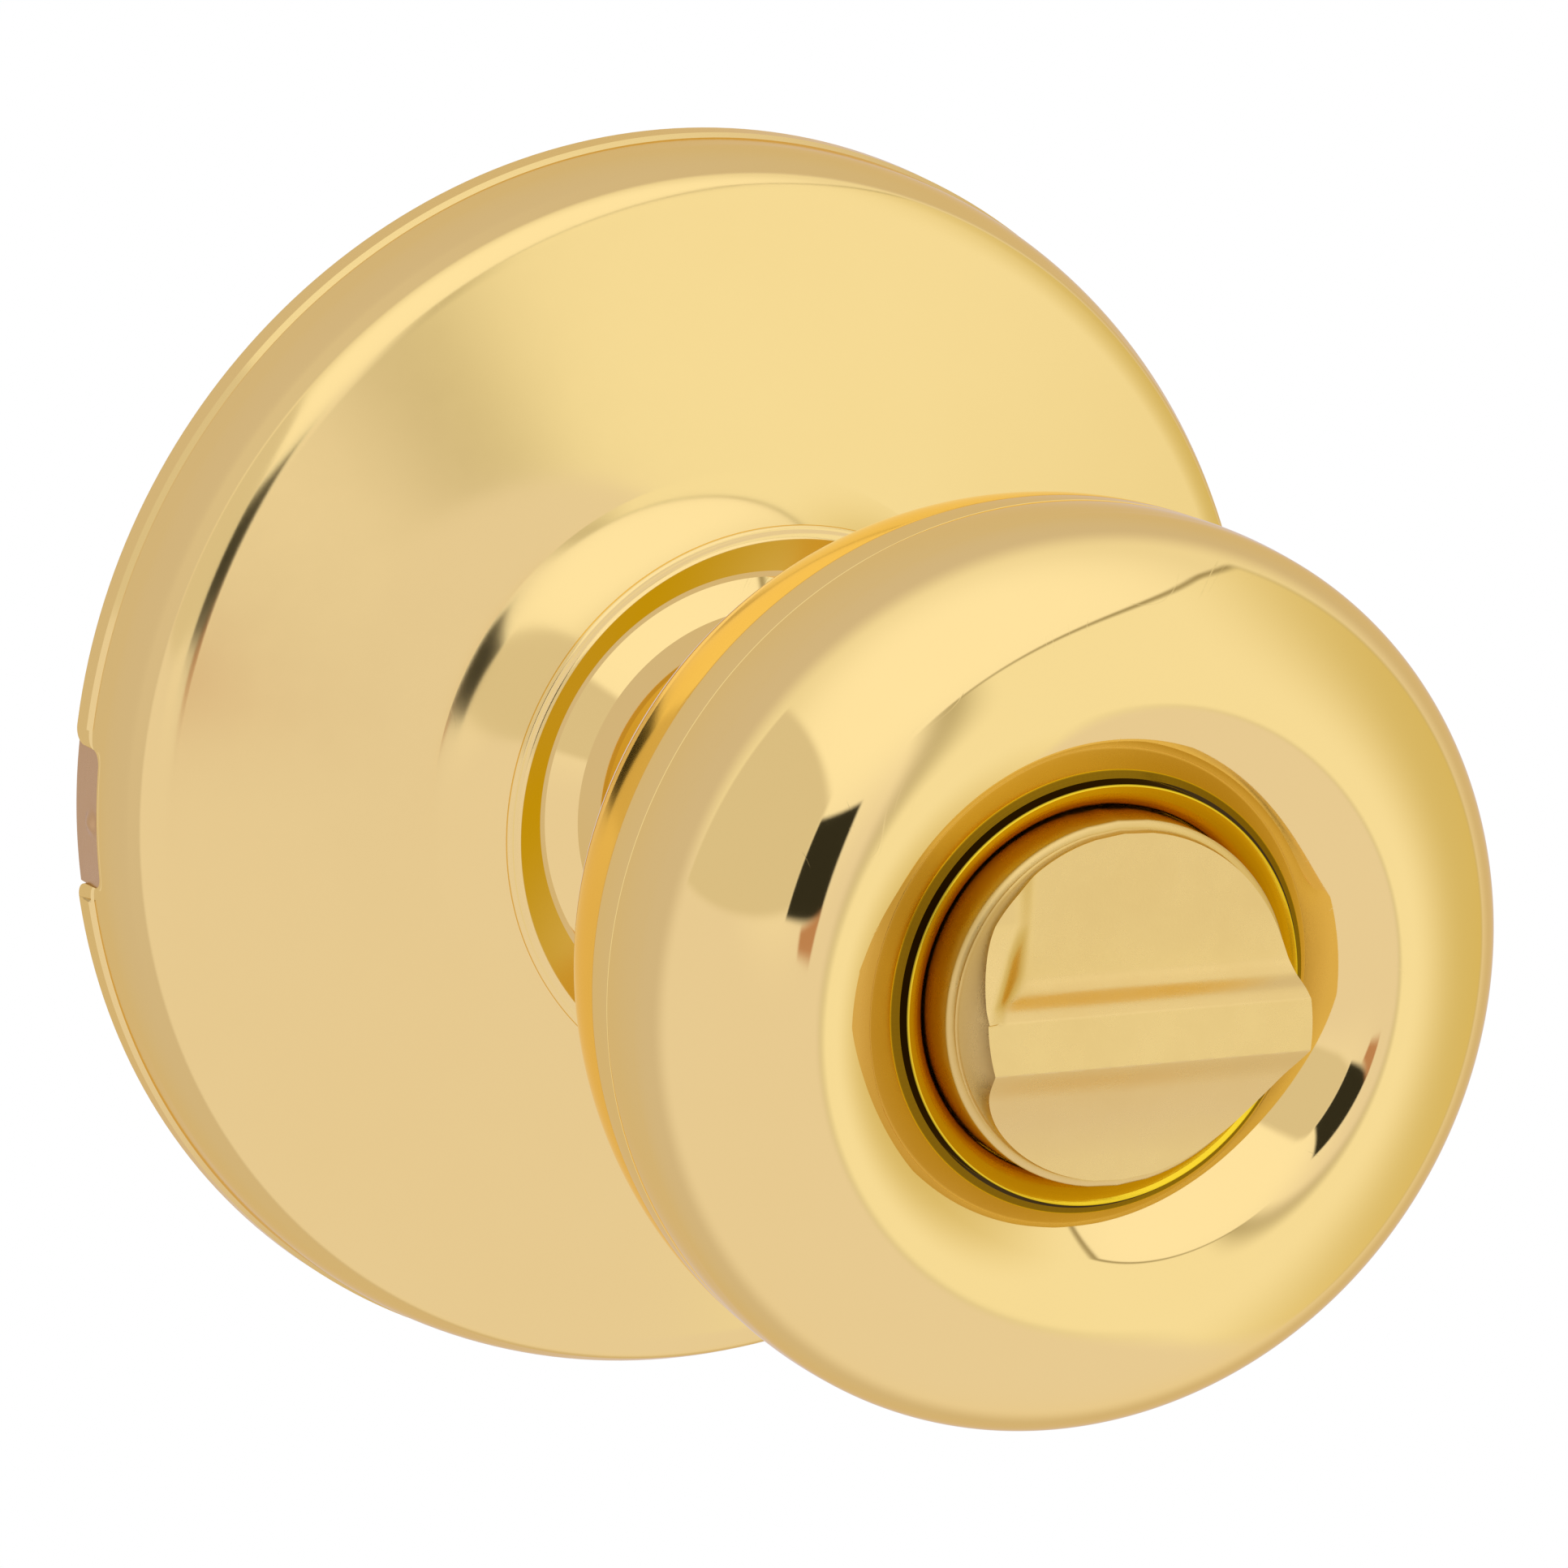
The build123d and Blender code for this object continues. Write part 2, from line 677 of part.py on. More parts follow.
tension_wire = 0.8
tension_radius = 5.6
tension_turns = 3.0
tension_back = bezel_floor_front + tension_wire / 2 + running_gap
tension_front = button_back - tension_wire / 2 - running_gap

with BuildPart() as tension_spring:
    with BuildLine():
        turns = Helix(
            pitch=(tension_front - tension_back) / tension_turns,
            height=tension_front - tension_back,
            radius=tension_radius,
            center=(0, -tension_back, 0),
            direction=(0, -1, 0),
        )
    with BuildSketch(Plane(origin=turns @ 0, z_dir=turns % 0)):
        Circle(tension_wire / 2)
    sweep(path=turns, is_frenet=True)
write(tension_spring, "tension_spring")

# ---- lock bar: flat blade that the turn button turns, running out to the far knob ----
bar_back = -33.0
bar_end_gap = 0.3
bar_chamfer = 0.4

with BuildPart() as lock_bar:
    with BuildSketch(at_depth(bar_back)):
        Rectangle(bar_width, bar_thickness)
    extrude(amount=slot_front - bar_end_gap - bar_back)
    chamfer(lock_bar.edges().group_by(Axis.Y)[-1], length=bar_chamfer)
write(lock_bar, "lock_bar")

# ---- spindle: D-shaped tube that turns the latch, fixed in a block inside the drive tube ----
spindle_radius = 5.4
spindle_wall = 1.0
spindle_flat = 4.1              # the flat is this far below the axis
spindle_back = -36.0
spindle_front = 31.0
block_back = 18.0
block_front = 30.0
pin_inner = 4.5
key_width = 6.4                 # the block's key under the spindle's flat
key_height = 3.2

with BuildPart() as spindle:
    with BuildSketch(at_depth(spindle_back)):
        Circle(spindle_radius)
        with Locations((0, -spindle_flat - spindle_radius / 2)):
            Rectangle(2 * spindle_radius, spindle_radius, mode=Mode.SUBTRACT)
        offset(amount=-spindle_wall, mode=Mode.SUBTRACT)
    extrude(amount=spindle_front - spindle_back)
    with BuildSketch(Plane.YZ):
        with Locations((-pin_depth, 0)):
            Circle(pin_radius)
    extrude(amount=spindle_radius, both=True, mode=Mode.SUBTRACT)
write(spindle, "spindle")

with BuildPart() as spindle_block:
    with BuildSketch(at_depth(block_back)):
        Circle(tube_radius - tube_wall - seat_gap)
        Circle(spindle_radius + seat_gap, mode=Mode.SUBTRACT)
    extrude(amount=block_front - block_back)
    with BuildSketch(at_depth(block_back)):
        with Locations((0, -spindle_flat - key_height / 2)):
            Rectangle(key_width, key_height - 2 * seat_gap)
        Circle(tube_radius - tube_wall - seat_gap, mode=Mode.INTERSECT)
    extrude(amount=block_front - block_back)
    with BuildSketch(Plane.YZ):
        with Locations((-pin_depth, 0)):
            Circle(pin_radius)
    extrude(amount=tube_radius, both=True, mode=Mode.SUBTRACT)
write(spindle_block, "spindle_block")

with BuildPart() as spindle_pins:
    for side in (1, -1):
        with BuildSketch(Plane.YZ.offset(side * pin_inner)):
            with Locations((-pin_depth, 0)):
                Circle(pin_radius - seat_gap)
        extrude(amount=side * (tube_radius - pin_inner))
write(spindle_pins, "spindle_pins")
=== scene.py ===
"""Brass door knob: turned shells, cast turn button and studio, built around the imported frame."""

import json
from math import atan2, cos, hypot, pi, radians, sin, sqrt

import bmesh
import bpy
from mathutils import Matrix, Vector


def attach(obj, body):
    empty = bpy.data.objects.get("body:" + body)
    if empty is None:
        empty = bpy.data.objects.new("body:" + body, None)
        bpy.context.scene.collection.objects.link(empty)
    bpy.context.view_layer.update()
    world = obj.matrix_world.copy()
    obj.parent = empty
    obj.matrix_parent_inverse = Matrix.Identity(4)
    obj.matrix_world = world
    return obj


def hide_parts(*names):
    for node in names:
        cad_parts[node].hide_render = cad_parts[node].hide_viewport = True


MM = 0.001
SEGMENTS = 256

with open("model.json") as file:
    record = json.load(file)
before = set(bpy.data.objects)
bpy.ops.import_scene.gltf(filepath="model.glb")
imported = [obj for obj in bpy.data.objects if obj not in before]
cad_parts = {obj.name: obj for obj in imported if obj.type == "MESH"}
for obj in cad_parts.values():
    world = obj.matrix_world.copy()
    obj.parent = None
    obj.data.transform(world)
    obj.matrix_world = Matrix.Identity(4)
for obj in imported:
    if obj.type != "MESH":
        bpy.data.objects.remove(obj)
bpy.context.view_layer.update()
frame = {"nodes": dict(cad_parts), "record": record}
nodes = frame["nodes"]


# ---------------------------------------------------------------- turned profiles
# A profile is a list of segments; each holds two ends (radius, depth) and the outward normal at
# each end. Depth is a distance out from the door, so y = -depth. Lengths are in millimetres.


class Profile:
    """A turned outline, walked with the metal on its left."""

    def __init__(self, radius, depth):
        self.here = (radius, depth)
        self.heading = None
        self.segments = []

    def _add(self, points, tangents):
        normals = [(t[1], -t[0]) for t in tangents]
        self.segments += zip(points, points[1:], normals, normals[1:])
        self.here = points[-1]
        self.heading = tangents[-1]
        return self

    def line(self, radius, depth, steps=3):
        ax, ay = self.here
        length = hypot(radius - ax, depth - ay)
        t = ((radius - ax) / length, (depth - ay) / length)
        points = [
            (ax + (radius - ax) * i / steps, ay + (depth - ay) * i / steps) for i in range(steps + 1)
        ]
        return self._add(points, [t] * (steps + 1))

    def arc(self, radius, depth, tangent=None, steps=14):
        """A circular arc along `tangent` (or the last heading) that ends at (radius, depth)."""
        tx, ty = tangent or self.heading
        length = hypot(tx, ty)
        tx, ty = tx / length, ty / length
        ax, ay = self.here
        cx, cy = radius - ax, depth - ay
        across = cx * -ty + cy * tx
        if abs(across) < 1e-9:
            return self.line(radius, depth, steps)
        r = (cx * cx + cy * cy) / (2 * across)
        ox, oy = ax - ty * r, ay + tx * r
        a0 = atan2(ay - oy, ax - ox)
        a1 = atan2(depth - oy, radius - ox)
        turn = (a1 - a0) % (2 * pi) if r > 0 else -((a0 - a1) % (2 * pi))
        points, tangents = [], []
        for i in range(steps + 1):
            a = a0 + turn * i / steps
            points.append((ox + abs(r) * cos(a), oy + abs(r) * sin(a)))
            tangents.append((-sin(a), cos(a)) if r > 0 else (sin(a), -cos(a)))
        return self._add(points, tangents)

    def quarter(self, radius, depth, radial, axial, steps=40):
        """A quarter ellipse about (radius, depth), from its widest point to its top."""
        points, tangents = [], []
        for i in range(steps + 1):
            a = radians(90) * i / steps
            nx, ny = cos(a) / radial, sin(a) / axial
            n = hypot(nx, ny)
            points.append((radius + radial * cos(a), depth + axial * sin(a)))
            tangents.append((-ny / n, nx / n))
        return self._add(points, tangents)

    def bend(self, start, stop, radius, steps=12):
        """A shoulder arc walked inwards: its fall to the rim goes from `start` to `stop` degrees."""
        r, d = self.here
        a, b = radians(start), radians(stop)
        points, tangents = [], []
        for i in range(steps + 1):
            t = a + (b - a) * i / steps
            points.append((r - radius * (sin(a) - sin(t)), d + radius * (cos(t) - cos(a))))
            tangents.append((-cos(t), sin(t)))
        return self._add(points, tangents)

    def wall(self, thickness):
        """Close the outline with a parallel inner skin."""
        outer = list(self.segments)
        inner = []
        for a, b, na, nb in reversed(outer):
            pa = (b[0] - nb[0] * thickness, b[1] - nb[1] * thickness)
            pb = (a[0] - na[0] * thickness, a[1] - na[1] * thickness)
            if inner and hypot(pa[0] - inner[-1][1][0], pa[1] - inner[-1][1][1]) > 1e-6:
                mid = ((pa[0] + inner[-1][1][0]) / 2, (pa[1] + inner[-1][1][1]) / 2)
                last = inner[-1]
                inner[-1] = (last[0], mid, last[2], last[3])
                pa = mid
            inner.append((pa, pb, (-nb[0], -nb[1]), (-na[0], -na[1])))
        first, last = outer[0][0], outer[-1][1]
        for start, end in ((last, inner[0][0]), (inner[-1][1], first)):
            length = hypot(end[0] - start[0], end[1] - start[1])
            t = ((end[0] - start[0]) / length, (end[1] - start[1]) / length)
            n = (t[1], -t[0])
            cap = (start, end, n, n)
            if start is last:
                outer.append(cap)
                outer.extend(inner)
            else:
                outer.append(cap)
        self.segments = outer
        return self

    def close(self):
        start, end = self.here, self.segments[0][0]
        if hypot(end[0] - start[0], end[1] - start[1]) > 1e-6:
            self.line(end[0], end[1], 1)
        return self


def turned(name, profile, angles=None, shape=None):
    """Revolve a closed profile about the knob's axis, with exact normals.

    `shape` may move points by angle.
    """
    segments = profile.segments
    count = len(segments)
    if angles is None:
        angles = [2 * pi * j / SEGMENTS for j in range(SEGMENTS)]
    around = len(angles)
    verts = []
    for a in angles:
        for s in segments:
            r, d = s[0]
            if shape:
                r, d = shape(r, d, a)
            verts.append((r * MM * cos(a), -d * MM, r * MM * sin(a)))
    faces, normals = [], []
    for j in range(around):
        k = (j + 1) % around
        aj, ak = angles[j], angles[k]
        for i in range(count):
            m = (i + 1) % count
            faces.append((j * count + i, k * count + i, k * count + m, j * count + m))
            na, nb = segments[i][2], segments[i][3]
            for n, a in ((na, aj), (na, ak), (nb, ak), (nb, aj)):
                normals.append((n[0] * cos(a), -n[1], n[0] * sin(a)))
    return mesh_piece(name, verts, faces, normals)


def mesh_piece(name, verts, faces, normals=None):
    mesh = bpy.data.meshes.new(name)
    mesh.from_pydata(verts, [], faces)
    mesh.validate()
    mesh.polygons.foreach_set("use_smooth", [True] * len(mesh.polygons))
    if normals is not None:
        fix = [f for f in mesh.polygons if f.normal.dot(Vector(normals[f.loop_start])) < 0]
        if len(fix) > len(mesh.polygons) / 2:
            mesh.flip_normals()
            flipped = []
            for f in range(len(faces)):
                quad = normals[4 * f:4 * f + 4]
                flipped += [quad[0]] + quad[:0:-1]
            normals = flipped
        mesh.normals_split_custom_set(normals)
    mesh.update()
    piece = bpy.data.objects.new(name, mesh)
    bpy.context.scene.collection.objects.link(piece)
    return piece


# ---------------------------------------------------------------- materials
INNER_BLEND = 0.08


def clean(name):
    material = bpy.data.materials.new(name)
    material.use_nodes = True
    tree = material.node_tree
    tree.nodes.clear()
    return material, tree


def node(tree, kind, **values):
    n = tree.nodes.new(kind)
    for key, value in values.items():
        if key in n.inputs:
            n.inputs[key].default_value = value
        else:
            setattr(n, key, value)
    return n


def ramp_between(tree, value, low, high, to_low=0.0, to_high=1.0):
    """A clamped linear ramp of a value."""
    ramp = node(tree, "ShaderNodeMapRange", clamp=True)
    ramp.inputs["From Min"].default_value = low
    ramp.inputs["From Max"].default_value = high
    ramp.inputs["To Min"].default_value = to_low
    ramp.inputs["To Max"].default_value = to_high
    tree.links.new(value, ramp.inputs["Value"])
    return ramp.outputs["Result"]


def mix_colours(tree, factor, first, second):
    """Mix two colours; each is a constant or another node's output."""
    mix = node(tree, "ShaderNodeMix", data_type="RGBA")
    tree.links.new(factor, mix.inputs[0])
    for socket, value in ((mix.inputs[6], first), (mix.inputs[7], second)):
        if isinstance(value, tuple):
            socket.default_value = (*value, 1)
        else:
            tree.links.new(value, socket)
    return mix.outputs[2]


def noise(tree, where, scale, detail, **values):
    """Noise at a place, as a factor."""
    n = node(tree, "ShaderNodeTexNoise", Scale=scale, Detail=detail, **values)
    tree.links.new(where, n.inputs["Vector"])
    return n.outputs["Fac"]


def from_axis(tree, where):
    """Distance from the knob's axis, and the depth along it."""
    apart = node(tree, "ShaderNodeSeparateXYZ")
    tree.links.new(where, apart.inputs["Vector"])
    flat = node(tree, "ShaderNodeCombineXYZ")
    tree.links.new(apart.outputs["X"], flat.inputs["X"])
    tree.links.new(apart.outputs["Z"], flat.inputs["Z"])
    length = node(tree, "ShaderNodeVectorMath", operation="LENGTH")
    tree.links.new(flat.outputs["Vector"], length.inputs[0])
    return length.outputs["Value"], apart.outputs["Y"]


def lathe_lines(tree, where):
    """Noise that runs round the knob's axis."""
    radius, depth = from_axis(tree, where)
    ring = node(tree, "ShaderNodeCombineXYZ")
    tree.links.new(radius, ring.inputs["X"])
    tree.links.new(depth, ring.inputs["Y"])
    return noise(tree, ring.outputs["Vector"], 9000.0, 2.0, Roughness=0.6)


def hairlines(tree, where):
    """A few fine scratches: noise stretched along directions that wander slowly."""
    angle = node(tree, "ShaderNodeMath", operation="MULTIPLY")
    angle.inputs[1].default_value = 9.0
    tree.links.new(noise(tree, where, 35.0, 2.0), angle.inputs[0])
    turn = node(tree, "ShaderNodeVectorRotate", rotation_type="AXIS_ANGLE")
    turn.inputs["Axis"].default_value = (0.2, 1.0, 0.3)
    tree.links.new(angle.outputs["Value"], turn.inputs["Angle"])
    tree.links.new(where, turn.inputs["Vector"])
    stretch = node(tree, "ShaderNodeMapping")
    stretch.inputs["Scale"].default_value = (40.0, 40.0, 2600.0)
    tree.links.new(turn.outputs["Vector"], stretch.inputs["Vector"])
    hair = noise(tree, stretch.outputs["Vector"], 1.0, 3.0, Roughness=0.75)
    return ramp_between(tree, hair, 0.66, 0.72)


def metal(name, base, shadow, roughness, rough_spread=0.0, grain=0.0, grain_scale=2500.0, wave=0.0,
          turned_marks=0.0, scratches=0.0, stain=0.12, inner=None, hollow=None, edge=(1.0, 1.0, 1.0)):
    """A metal with slow colour variation and optional grain, waviness, lathe marks and scratches, and
    optional painted reflection and painted shade.

    `inner` is an optional (radius in mm, colour): inside the radius the metal has that colour, used as
    a painted reflection, a deeper gold in place of the gold it would mirror.
    `hollow` is an optional (reach in metres, colour): painted shade, the darker colour it is given in
    corners and hollows that ambient occlusion finds.
    `edge` tints grazing light.
    """
    material, tree = clean(name)
    out = node(tree, "ShaderNodeOutputMaterial")
    bsdf = node(tree, "ShaderNodeBsdfPrincipled", Metallic=1.0, Roughness=roughness)
    bsdf.inputs["Specular Tint"].default_value = (*edge, 1)
    tree.links.new(bsdf.outputs["BSDF"], out.inputs["Surface"])
    where = node(tree, "ShaderNodeTexCoord").outputs["Object"]

    slow = noise(tree, where, 60.0, 4.0, Roughness=0.6)
    colour = mix_colours(tree, ramp_between(tree, slow, 0.35, 0.75, 0.0, stain), base, shadow)
    # painted reflection: a deeper colour inside the given radius
    if inner:
        inner_radius, painted_reflection_colour = inner
        within = ramp_between(
            tree, from_axis(tree, where)[0], inner_radius * MM, (inner_radius - INNER_BLEND) * MM
        )
        colour = mix_colours(tree, within, colour, painted_reflection_colour)
    # painted shade: ambient occlusion turns corners and hollows to the darker colour
    if hollow:
        reach, hollow_shade_colour = hollow
        shade = node(tree, "ShaderNodeAmbientOcclusion", Distance=reach)
        shade.samples = 8
        unshaded = ramp_between(tree, shade.outputs["AO"], 0.45, 0.85)
        colour = mix_colours(tree, unshaded, hollow_shade_colour, colour)
    tree.links.new(colour, bsdf.inputs["Base Color"])

    if rough_spread:
        patches = noise(tree, where, 420.0, 6.0, Roughness=0.7)
        smoothest = max(0.0, roughness - rough_spread)
        rough = ramp_between(tree, patches, 0.3, 0.8, smoothest, roughness + rough_spread)
        tree.links.new(rough, bsdf.inputs["Roughness"])

    reliefs = []
    if wave:
        reliefs.append((noise(tree, where, 90.0, 1.0, Roughness=0.4), wave, 0.0001))
    if turned_marks:
        reliefs.append((lathe_lines(tree, where), turned_marks, 0.00002))
    if scratches:
        reliefs.append((hairlines(tree, where), scratches, 0.00001))
    if grain:
        reliefs.append((noise(tree, where, grain_scale, 5.0, Roughness=0.75), grain, 0.00006))
    normal = None
    for height, strength, distance in reliefs:
        bump = node(tree, "ShaderNodeBump", Strength=strength, Distance=distance)
        tree.links.new(height, bump.inputs["Height"])
        if normal is not None:
            tree.links.new(normal, bump.inputs["Normal"])
        normal = bump.outputs["Normal"]
    if normal is not None:
        tree.links.new(normal, bsdf.inputs["Normal"])
    return material


BRASS = (0.93, 0.73, 0.30)
BRASS_DEEP = (0.88, 0.65, 0.23)
GOLD_EDGE = (1.0, 0.87, 0.55)
# painted shade: near black, for the dark gap between the bezel and the front shell's lip
BEZEL_GAP_SHADE = (0.05, 0.03, 0.01)

polished = metal("brass_polished", BRASS, BRASS_DEEP, 0.035, rough_spread=0.012, wave=0.02,
                 scratches=0.05, edge=GOLD_EDGE)
# painted reflection: inside 14.45 mm the bell is a deeper gold, standing in for the knob's bowl that
# it would mirror
bell_brass = metal("brass_bell", BRASS, BRASS_DEEP, 0.14, rough_spread=0.015,
                   inner=(14.45, (0.84, 0.58, 0.13)), edge=(0.85, 0.60, 0.20))
rose_brass = metal("brass_rose", BRASS, BRASS_DEEP, 0.13, rough_spread=0.015, wave=0.03,
                   scratches=0.05, edge=GOLD_EDGE)
# painted shade and painted reflection: the bezel is near black outside 10.87 mm, a dark ring in the
# gap, and inside it a deep gold, its brass deepened to stand in for the gold it mirrors
bezel_brass = metal("brass_turned", BEZEL_GAP_SHADE, BEZEL_GAP_SHADE, 0.13, rough_spread=0.05, turned_marks=0.5,
                    grain=0.05, inner=(10.87, (0.90, 0.66, 0.03)), edge=(1.0, 0.80, 0.30))
# painted shade: the cast brass turns a darker, deeper gold in corners and hollows within 6 mm
cast_brass = metal("brass_cast", (0.86, 0.66, 0.26), (0.72, 0.50, 0.16), 0.30, rough_spread=0.07,
                   grain=0.12, grain_scale=5200.0, stain=0.3, hollow=(0.006, (0.60, 0.38, 0.04)),
                   edge=GOLD_EDGE)
zinc_yellow = metal("steel_plated", (0.66, 0.44, 0.21), (0.50, 0.28, 0.13), 0.32,
                    rough_spread=0.08, grain=0.2)
bright_steel = metal("steel_bright", (0.72, 0.72, 0.72), (0.60, 0.59, 0.58), 0.22,
                     rough_spread=0.06, grain=0.1)
zinc_cast = metal("zinc_cast", (0.60, 0.61, 0.62), (0.46, 0.46, 0.47), 0.42,
                  rough_spread=0.08, grain=0.5)
spring_wire = metal("steel_spring", (0.45, 0.45, 0.46), (0.33, 0.32, 0.32), 0.28,
                    rough_spread=0.06, grain=0.1)

nylon, nylon_tree = clean("nylon_black")
nylon_out = node(nylon_tree, "ShaderNodeOutputMaterial")
nylon_bsdf = node(nylon_tree, "ShaderNodeBsdfPrincipled", Roughness=0.5)
nylon_bsdf.inputs["Base Color"].default_value = (0.035, 0.035, 0.038, 1)
nylon_place = node(nylon_tree, "ShaderNodeTexCoord")
nylon_bump = node(nylon_tree, "ShaderNodeBump", Strength=0.3, Distance=0.00005)
nylon_grain = noise(nylon_tree, nylon_place.outputs["Object"], 1800.0, 4.0)
nylon_tree.links.new(nylon_grain, nylon_bump.inputs["Height"])
nylon_tree.links.new(nylon_bump.outputs["Normal"], nylon_bsdf.inputs["Normal"])
nylon_tree.links.new(nylon_bsdf.outputs["BSDF"], nylon_out.inputs["Surface"])

BY_SLOT = {
    "polished_brass": polished,
    "cast_brass": cast_brass,
    "plated_steel": zinc_yellow,
    "bright_steel": bright_steel,
    "die_cast_zinc": zinc_cast,
    "spring_steel": spring_wire,
    "nylon": nylon,
}


def finish_piece(piece, body, slot, material, *replaced):
    piece.data.materials.clear()
    piece.data.materials.append(material)
    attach(piece, body)
    if replaced:
        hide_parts(*replaced)


# ---------------------------------------------------------------- rose
ROSE_R = 32.5
ROSE_WALL = 0.7
BEAD_R = 32.7
BEAD_TOP = 1.7
BACK_EDGE = 0.15
SHOULDER = 3.4
FOOT_R = 16.6

rose = Profile(BEAD_R, BACK_EDGE)
rose.line(BEAD_R, 1.35, 4)
rose.line(ROSE_R, BEAD_TOP, 2)
rose.line(ROSE_R, SHOULDER, 4)
rose.bend(88, 70, 8.0)
rose.line(rose.here[0] - 0.26, rose.here[1] + 0.714, 4)
rose.bend(70, 28, 1.2, 24)
rose.bend(28, 9.5, 3.0, 16)
rose.bend(9.5, 8, (rose.here[0] - FOOT_R) / (sin(radians(9.5)) - sin(radians(8))), 24)
# the collar: a concave flare up to a waist
for radius, rise, slope, steps in ((15.6, 0.344, 14, 12), (13.2, 2.24, 24, 26)):
    heading = (-cos(radians(slope)), sin(radians(slope)))
    rose.arc(radius, rose.here[1] + rise, tangent=heading, steps=steps)
rose.wall(ROSE_WALL)

# the collar's rolled bell, above the waist
bell = Profile(12.8, 11.8)
bell.line(13.2, 12.22, 2)
bell.arc(15.0, 15.35, tangent=(-0.1, 1), steps=20)
bell.arc(14.85, 15.75, steps=8)
bell.arc(14.45, 15.85, steps=8)
bell.line(12.15, 13.2, 8)
bell.line(12.15, 12.75, 2)
bell.close()

NOTCH_HALF = 3.7
NOTCH_TOP = 2.8
NOTCH_FLARE = 0.9
NOTCH_ROUND = 0.8


def notch_edge(angle):
    """Depth of the rose's back edge at an angle: it rises over the pry notch at nine o'clock."""
    across = abs(angle % (2 * pi) - pi) * ROSE_R
    if across >= NOTCH_HALF + NOTCH_FLARE:
        return BACK_EDGE
    if across > NOTCH_HALF:
        x = NOTCH_HALF + NOTCH_FLARE - across
        return BACK_EDGE + NOTCH_FLARE - sqrt(max(0.0, NOTCH_FLARE ** 2 - x ** 2))
    inner = across - (NOTCH_HALF - NOTCH_ROUND)
    if inner > 0:
        return NOTCH_TOP - NOTCH_ROUND + sqrt(max(0.0, NOTCH_ROUND ** 2 - inner ** 2))
    return NOTCH_TOP


def notch_shape(r, d, angle):
    """Press the wall's back part together above the notch, and fade out the bead there."""
    low = notch_edge(angle)
    top = SHOULDER - 0.1
    if low > BACK_EDGE + 0.001 and d < top and r > 30:
        d = low + (top - low) * (d - BACK_EDGE) / (top - BACK_EDGE)
        bead = max(0.0, (BEAD_TOP - d) / (BEAD_TOP - BACK_EDGE))
        inner_r = ROSE_R - ROSE_WALL
        if r > ROSE_R:
            r = ROSE_R + (r - ROSE_R) * bead
        elif r < ROSE_R - 0.3:
            r = inner_r + max(0.0, r - inner_r) * bead
    return r, d


# extra cuts across the notch, so that its corners are round
rose_angles = {2 * pi * j / SEGMENTS for j in range(SEGMENTS)}
for sign in (1, -1):
    for step in range(31):
        rose_angles.add(pi + sign * (2.8 + 0.064 * step) / ROSE_R)
    rose_angles.add(pi + sign * (NOTCH_HALF + 0.004) / ROSE_R)
    rose_angles.add(pi + sign * (NOTCH_HALF - 0.004) / ROSE_R)
rose_piece = turned("rose_shell", rose, sorted(rose_angles), notch_shape)
finish_piece(rose_piece, "rose", "polished_brass", rose_brass, "rose_cover")
bell_piece = turned("rose_bell", bell)
finish_piece(bell_piece, "rose", "polished_brass", bell_brass)

# ---------------------------------------------------------------- the plate's flange, in the pry notch
PAD_R = 32.45
PAD_ROOT = 31.0
PAD_HALF = 3.75
PAD_LOW, PAD_TOP = 0.1, 2.75
BUMP_R, BUMP_RISE, BUMP_D = 0.7, 0.25, 2.0
ACROSS, UP = 60, 24


def flange_pad():
    """A closed block on the plate's flange that fills the notch, with a round bump on it."""
    verts = []
    for skin in ("outer", "root"):
        for i in range(ACROSS + 1):
            x = -PAD_HALF + 2 * PAD_HALF * i / ACROSS
            for k in range(UP + 1):
                d = PAD_LOW + (PAD_TOP - PAD_LOW) * k / UP
                near = ((x - 0.2) ** 2 + (d - BUMP_D) ** 2) / BUMP_R ** 2
                r = PAD_R + BUMP_RISE * max(0.0, 1 - near) ** 1.5 if skin == "outer" else PAD_ROOT
                angle = pi + x / PAD_R
                verts.append((r * MM * cos(angle), -d * MM, r * MM * sin(angle)))
    row = UP + 1
    under = (ACROSS + 1) * row
    faces = []
    for i in range(ACROSS):
        for k in range(UP):
            a, b, c, d = i * row + k, (i + 1) * row + k, (i + 1) * row + k + 1, i * row + k + 1
            faces.append((a, b, c, d))
            faces.append((under + d, under + c, under + b, under + a))
    for i in range(ACROSS):
        a, b = i * row, (i + 1) * row
        faces.append((b, a, under + a, under + b))
        faces.append((a + UP, b + UP, under + b + UP, under + a + UP))
    for k in range(UP):
        a, b = k, k + 1
        faces.append((a, b, under + b, under + a))
        a, b = ACROSS * row + k, ACROSS * row + k + 1
        faces.append((b, a, under + a, under + b))
    piece = mesh_piece("flange_pad", verts, faces)
    piece.data.set_sharp_from_angle(angle=radians(40))
    return piece


pad_piece = flange_pad()
finish_piece(pad_piece, "mount", "plated_steel", zinc_yellow)

# ---------------------------------------------------------------- knob: back shell
NECK_R = 11.8
BOWL_R = 20.3
RING_R = 3.2
RING_D = 46.5
WAIST_R = 10.3
FILLET = 4.0
SHELL_WALL = 0.8
SEAM_D = 46.0
SEAM_GAP = 0.03
fillet_r = WAIST_R + FILLET
reach = BOWL_R + FILLET
fillet_d = RING_D - sqrt(reach ** 2 - (fillet_r - RING_R) ** 2)
share = BOWL_R / reach
joint = (RING_R + (fillet_r - RING_R) * share, RING_D + (fillet_d - RING_D) * share)
seam_r = RING_R + sqrt(BOWL_R ** 2 - (RING_D - SEAM_D) ** 2)

